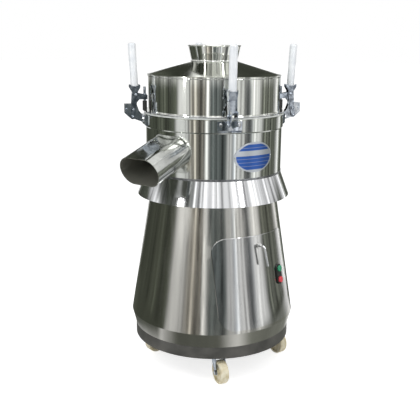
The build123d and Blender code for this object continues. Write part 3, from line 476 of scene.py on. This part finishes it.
def piece(name, body, material, shape):
    """Finishes a mesh, gives it its material and lets it ride on a body, if it names one."""
    bmesh.ops.recalc_face_normals(shape, faces=shape.faces)
    mesh = bpy.data.meshes.new(name)
    shape.to_mesh(mesh)
    shape.free()
    mesh.polygons.foreach_set("use_smooth", [True] * len(mesh.polygons))
    mesh.set_sharp_from_angle(angle=radians(CRISP_ANGLE))
    mesh.materials.append(material)
    made = bpy.data.objects.new(name, mesh)
    bpy.context.scene.collection.objects.link(made)
    if body:
        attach(made, body)
    return made


# Each clamp foot is bolted to the drum's collar with two hexagon screws.
shape = bmesh.new()
front = FOOT_SCREWS["front"]
for azimuth in CLAMPS:
    for way in (-1, 1):
        turn = way * FOOT_SCREWS["aside"] / front * 180 / pi
        place = facing(azimuth + turn, front, FOOT_SCREWS["height"])
        hex_bolt(shape, place, FOOT_SCREWS["across"], FOOT_SCREWS["head"], FOOT_SCREWS["washer"])
# The screws take the skirt's lighter copy of the stainless, painted brighter as if more lit.
piece("clamp_foot_screws", "screen_body", painted_bright_stainless, shape)

def pin_ends(shape, azimuth, centre, half, radius):
    """The two heads of a clamp's pin."""
    for way in (-1, 1):
        place = side_on(azimuth) @ Matrix.Translation(Vector((centre[0], centre[1], way * half)) * MM)
        if way < 0:
            place = place @ Matrix.Rotation(pi, 4, "X")
        rivet(shape, place, radius, HEAD_HEIGHT)


# Heads peened over the fixed pins, and over the pins that the handles carry
shape = bmesh.new()
for azimuth in CLAMPS:
    pin_ends(shape, azimuth, ARM_PIN, BRACKET_HALF, PIN_HEAD)
    pin_ends(shape, azimuth, LINK_PIN, LINK_HALF, PIN_HEAD)
    pin_ends(shape, azimuth, BRACKET_RIVET, BRACKET_HALF, RIVET_HEAD)
piece("clamp_bracket_rivets", "screen_body", clamp_zinc, shape)
for number, azimuth in enumerate(CLAMPS, start=1):
    shape = bmesh.new()
    pin_ends(shape, azimuth, HANDLE_PIN, HANDLE_HALF, PIN_HEAD)
    pin_ends(shape, azimuth, EYE_PIN, LINK_HALF, EYE_HEAD)
    piece(f"clamp_handle_rivets_{number}", f"handle_{number}", clamp_zinc, shape)

# The nameplate's two rivets
PLATE_SKIN = 1.3
shape = bmesh.new()
for way in (-1, 1):
    azimuth = NAMEPLATE["azimuth"] + way * NAMEPLATE["turn"]
    rivet(shape, facing(azimuth, DRUM_RADIUS + PLATE_SKIN, NAMEPLATE["height"]), **PLATE_RIVET)
piece("nameplate_rivets", "screen_body", lid_steel, shape)


def spout_path(spout, radius, steps=96):
    """Where a spout's outside meets an upright cylinder, point by point."""
    mouth, level, up, out = spout_axes(**spout)
    bend = spout["tall"] / 2
    straight = spout["wide"] / 2 - bend
    points = []
    for k in range(steps):
        b = 2 * pi * k / steps
        across = bend * cos(b) + (straight if cos(b) > 0 else -straight)
        p = mouth + level * across + up * bend * sin(b)
        # The distance back along the tube at which it reaches the cylinder
        qa = out.x ** 2 + out.y ** 2
        qb = -2 * (p.x * out.x + p.y * out.y)
        qc = p.x ** 2 + p.y ** 2 - radius ** 2
        back = (-qb - (qb ** 2 - 4 * qa * qc) ** 0.5) / 2 / qa
        points.append((p - out * back) * MM)
    return points


shape = bmesh.new()
bead(shape, spout_path(FINE_SPOUT, DRUM_RADIUS), **SPOUT_WELD)
piece("fine_spout_weld", "screen_body", drum_sheet, shape)
shape = bmesh.new()
bead(shape, spout_path(COARSE_SPOUT, COVER_RADIUS), **SPOUT_WELD)
piece("coarse_spout_weld", "cover", drum_sheet, shape)


def ring_path(radius_mm, height_mm, steps):
    """Points of a level ring round the machine's axis."""
    turns = [2 * pi * k / steps for k in range(steps)]
    return [Vector((radius_mm * cos(a), radius_mm * sin(a), height_mm)) * MM for a in turns]


shape = bmesh.new()
bead(shape, ring_path(HOPPER_NECK + 1, LID_TOP + 0.5, steps=160), **HOPPER_WELD)
piece("hopper_weld", "cover", drum_sheet, shape)

# The lid is welded to the cover just under its rim.
shape = bmesh.new()
bead(shape, ring_path(COVER_RADIUS + 0.2, LID_RIM, steps=220), **LID_WELD)
piece("lid_weld", "cover", drum_sheet, shape)


# The radius of the beads along the door's edge, a painted highlight on top and painted shadow down the sides,
# how far they sit into the skin, and the distance between their points
EDGE_RADIUS = 0.9
EDGE_SUNK = 0.7
EDGE_STEP = 9


def door_edge_path(steps=16):
    """The door's outline as it lies on the tapered stand, half its skin deep."""
    half_wide = DOOR["wide"] / 2 - EDGE_RADIUS
    half_high = (DOOR["high"] - DOOR["low"]) / 2 - EDGE_RADIUS
    middle, corner = (DOOR["high"] + DOOR["low"]) / 2, DOOR["corner"] - EDGE_RADIUS
    flat = []
    for turn, across, rise in ((0, 1, 1), (90, -1, 1), (180, -1, -1), (270, 1, -1)):
        for k in range(steps + 1):
            a = radians(turn + 90 * k / steps)
            x = across * (half_wide - corner) + corner * cos(a)
            y = rise * (half_high - corner) + corner * sin(a)
            flat.append((x, y))
    points = []
    for (s0, h0), (s1, h1) in zip(flat, flat[1:] + flat[:1]):
        count = max(1, int(sqrt((s1 - s0) ** 2 + (h1 - h0) ** 2) / EDGE_STEP))
        points += [(s0 + (s1 - s0) * k / count, h0 + (h1 - h0) * k / count) for k in range(count)]
    a = radians(DOOR["azimuth"])
    out, level = Vector((sin(a), -cos(a), 0)), Vector((cos(a), sin(a), 0))
    path = []
    for across, rise in points:
        height = middle + rise
        drop = (height - STAND_WIDEST["height"]) * tan(radians(STAND_TAPER))
        reach = STAND_WIDEST["radius"] - drop + DOOR["skin"] - EDGE_SUNK
        path.append((level * across + out * sqrt(reach ** 2 - across ** 2) + Vector((0, 0, height))) * MM)
    return path


# Along the door's top edge a bright bead, in the skirt's lighter copy of the stainless, is a painted
# highlight; the black strip down each side is the painted shadow of the gap beside the door.
door_edge = door_edge_path()
shadow_strip_top = (DOOR["high"] - 0.8 * DOOR["corner"]) * MM
shadow_strip_foot = (DOOR["low"] + DOOR["corner"]) * MM
first = next(i for i, p in enumerate(door_edge) if p.z < shadow_strip_top <= door_edge[i - 1].z)
turned = door_edge[first:] + door_edge[:first]
shape = bmesh.new()
bead(shape, [p for p in turned if p.z >= shadow_strip_top], EDGE_RADIUS, closed=False)
piece("door_edge", "door", painted_bright_stainless, shape)
shape = bmesh.new()
side = [p for p in turned if shadow_strip_foot < p.z < shadow_strip_top]
half = len(side) // 2
for strip in (side[:half], side[half:]):
    bead(shape, strip, EDGE_RADIUS, closed=False)
piece("door_painted_gap_shadows", "door", pad_rubber, shape)

# The clamping flange's edge is rolled, and the clamps have pressed it into small waves.
shape = bmesh.new()
bead(shape, ring_path(FLANGE["radius"], FLANGE["height"], steps=180), **FLANGE_ROLL)
# The rolled edge takes the skirt's lighter copy of the stainless, painted brighter as if more lit.
piece("flange_edge", "cover", painted_bright_stainless, shape)

# Coil springs, drawn in place of the springs part, which is hidden. They stay rigid here, though the real
# ones bend and shorten as the drum shakes over the stand.
shape = bmesh.new()
length = SPRINGS["high"] - SPRINGS["low"]
per_turn = 24
steps = per_turn * SPRINGS["turns"]
for k in range(SPRINGS["count"]):
    a = 2 * pi * k / SPRINGS["count"]
    foot = Vector((SPRINGS["circle"] * cos(a), SPRINGS["circle"] * sin(a), SPRINGS["low"]))
    wire = []
    for i in range(steps + 1):
        turn = 2 * pi * i / per_turn
        round_coil = Vector((SPRINGS["coil"] * cos(turn), SPRINGS["coil"] * sin(turn), length * i / steps))
        wire.append((foot + round_coil) * MM)
    bead(shape, wire, SPRINGS["wire"], closed=False)
coils = piece("spring_coils", None, inner_steel, shape)
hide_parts("springs")
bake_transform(coils)


# Floor, light and camera
def seen_rays(tree):
    """One for rays from the camera, from gloss and through clear things, nought for bounced light."""
    rays = add(tree, "ShaderNodeLightPath").outputs
    seen = 0
    for kind in ("Is Camera Ray", "Is Glossy Ray", "Is Transmission Ray"):
        seen = add(tree, "ShaderNodeMath", {"operation": "MAXIMUM"}, {0: seen, 1: rays[kind]}).outputs[0]
    return seen


def set_piece(name, points, faces, material):
    """A mesh of the set, which isn't part of the machine."""
    mesh = bpy.data.meshes.new(name)
    mesh.from_pydata(points, [], faces)
    mesh.materials.append(material)
    thing = bpy.data.objects.new(name, mesh)
    bpy.context.scene.collection.objects.link(thing)
    return thing


# How brightly the paper glows where it is seen, and how much light the room itself gives
PAPER_GLOW = 0.7
ROOM_LIGHT = 0.5

# White paper: it stays white where light reaches it and keeps the machine's soft shadow.
paper, tree, shader = start("white_paper_floor", Roughness=0.9, Specular_IOR_Level=0.0)
shader.inputs["Base Color"].default_value = linear("#f2f2f2")
shader.inputs["Emission Color"].default_value = linear("#ffffff")
glow = add(tree, "ShaderNodeMath", {"operation": "MULTIPLY"}, {0: seen_rays(tree), 1: PAPER_GLOW})
tree.links.new(glow.outputs[0], shader.inputs["Emission Strength"])
FLOOR_HALF = 30
corners = [(x * FLOOR_HALF, y * FLOOR_HALF, 0) for x, y in ((-1, -1), (1, -1), (1, 1), (-1, 1))]
set_piece("floor", corners, [(0, 1, 2, 3)], paper)

world = bpy.data.worlds.new("pale_room")
bpy.context.scene.world = world
world.use_nodes = True
tree = world.node_tree
backdrop = tree.nodes["Background"]
backdrop.inputs["Color"].default_value = linear("#ffffff")
strength = add(tree, "ShaderNodeMapRange", None, {0: seen_rays(tree), 3: ROOM_LIGHT, 4: 1.0})
tree.links.new(strength.outputs[0], backdrop.inputs["Strength"])


MACHINE_MIDDLE = 0.55


def soft_box(name, azimuth, distance, height, wide, tall, watts):
    """A soft box that faces the machine's middle."""
    lamp = bpy.data.lights.new(name, "AREA")
    lamp.shape = "RECTANGLE"
    lamp.size, lamp.size_y = wide, tall
    lamp.energy = watts
    light = bpy.data.objects.new(name, lamp)
    bpy.context.scene.collection.objects.link(light)
    a = radians(azimuth)
    light.location = (distance * sin(a), -distance * cos(a), height)
    aim = Vector((0, 0, MACHINE_MIDDLE)) - light.location
    light.rotation_euler = aim.to_track_quat("-Z", "Y").to_euler()


soft_box("left_box", azimuth=-47, distance=1.7, height=1.3, wide=0.16, tall=1.6, watts=10)
soft_box("right_box", azimuth=44, distance=1.75, height=1.3, wide=0.12, tall=1.6, watts=8)
soft_box("top_box", azimuth=10, distance=0.9, height=2.6, wide=1.2, tall=1.2, watts=16)

# Cloths that hang in the workshop and lie on its floor, as the buffed metal mirrors them. Each has its first
# and last azimuth, the width of its soft sides, its lowest and highest level in metres, and its tone. Levels
# below nought lie on the floor, that far in from the wall.
TENT_RADIUS = 1.9
TENT_TOP = 4.4
TENT_FOOT = 0.3
TENT_STEP = 0.1
# The height of a cloth's soft ends, and the level above which the stripes stand
SOFT_ENDS = 0.12
STRIPE_FOOT = -0.5
CLOTHS = (
    # Behind and beside the stand and the drums
    (-155, -56, 8, -1.6, 0.95, "#565a50"),
    (-42, -9, 8, -0.5, 0.95, "#8f8b84"),
    (-12, 26, 8, -0.5, 0.95, "#666c6c"),
    (26, 38, 5, -0.5, 0.95, "#8d9094"),
    (48, 66, 6, -0.5, 0.95, "#737577"),
    (78, 124, 8, -0.8, 0.95, "#7b7e75"),
    (130, 166, 8, -1.6, 0.95, "#62655d"),
    (172, 200, 8, -1.6, 0.95, "#6b6e66"),
    # The floor in front, which the bevel mirrors
    (-60, 30, 25, -1.8, -0.5, "#74766f"),
    (20, 130, 25, -1.8, -0.5, "#8b8d86"),
    # Higher up, for the skirt
    (-118, -12, 30, 1.0, 1.8, "#43463f"),
    (96, 150, 12, 1.0, 1.8, "#74776f"),
    # High at the back, for the lid, with a bright gap in the middle
    (128, 176, 5, 1.05, 4.4, "#4a4d45"),
    (186, 232, 4, 1.05, 4.4, "#42453d"),
)
dice = random.Random(11)


def fade(place, first, last, edge):
    """One inside a span and nought outside it, with soft ends inside it."""
    share = max(0, min(1, (place - first) / edge, (last - place) / edge))
    return share * share * (3 - 2 * share)


# Poles, hoses and gaps in the workshop: narrow upright stripes, paler or darker than what is behind
STRIPE_COUNT = 96
GAINS = (0.35, 0.6, 1.7, 2.6)
STRIPES = [(dice.uniform(-180, 180), dice.uniform(1.1, 3.2), dice.choice(GAINS)) for _ in range(STRIPE_COUNT)]
# A window is brighter than white paper.
WINDOW = 2.0


def tent_tone(azimuth, level):
    """What the metal mirrors in one direction."""
    tone = [1.0, 1.0, 1.0]
    for first, last, edge, low, high, colour in CLOTHS:
        across = first + (azimuth - first) % 360
        share = fade(across, first, last, edge) * fade(level, low, high, SOFT_ENDS)
        tone = [t * (1 - share + share * c) for t, c in zip(tone, linear(colour))]
    if level > STRIPE_FOOT:
        for middle, half, gain in STRIPES:
            across = (azimuth - middle + 180) % 360 - 180
            share = fade(across, -half, half, half)
            tone = [t * (1 + share * (gain - 1)) for t in tone]
    return [min(WINDOW, t) for t in tone] + [1.0]


cloth = bpy.data.materials.new("workshop_cloths")
cloth.use_nodes = True
tree = cloth.node_tree
tree.nodes.clear()
tone = add(tree, "ShaderNodeAttribute", {"attribute_name": "tone"}).outputs["Color"]
glow = add(tree, "ShaderNodeEmission", None, {"Color": tone})
add(tree, "ShaderNodeOutputMaterial", None, {"Surface": glow.outputs[0]})

rows = round((TENT_RADIUS - TENT_FOOT + TENT_TOP) / TENT_STEP) + 1
levels = [TENT_FOOT - TENT_RADIUS + TENT_STEP * k for k in range(rows)]
turns = 360
ABOVE_FLOOR = 0.002
points, tints, faces = [], [], []
for k in range(turns):
    a = 2 * pi * k / turns
    for level in levels:
        reach = TENT_RADIUS + min(level, 0)
        points.append((reach * sin(a), -reach * cos(a), max(level, ABOVE_FLOOR)))
        tints += tent_tone(360 * k / turns, level)
for k in range(turns):
    here, there = k * len(levels), (k + 1) % turns * len(levels)
    for j in range(len(levels) - 1):
        faces.append((here + j, there + j, there + j + 1, here + j + 1))
tent = set_piece("workshop_tent", points, faces, cloth)
tints_on_tent = tent.data.color_attributes.new(name="tone", type="FLOAT_COLOR", domain="POINT")
tints_on_tent.data.foreach_set("color", tints)
tent.visible_camera = tent.visible_diffuse = tent.visible_shadow = tent.visible_transmission = False

# The camera: metres in front and up, and degrees down, turned and rolled a little
CAMERA = dict(distance=2.2954, height=1.0606, down=13.61, turn=0.234, roll=0.53, sensor=36, lens=60.83)
lens = bpy.data.cameras.new("camera")
lens.sensor_width = CAMERA["sensor"]
lens.lens = CAMERA["lens"]
camera = bpy.data.objects.new("camera", lens)
bpy.context.scene.collection.objects.link(camera)
camera.matrix_world = (
    Matrix.Translation((0, -CAMERA["distance"], CAMERA["height"]))
    @ Matrix.Rotation(radians(CAMERA["turn"]), 4, "Z")
    @ Matrix.Rotation(radians(90 - CAMERA["down"]), 4, "X")
    @ Matrix.Rotation(radians(CAMERA["roll"]), 4, "Z")
)
bpy.context.scene.camera = camera
bpy.context.scene.view_settings.view_transform = "Standard"
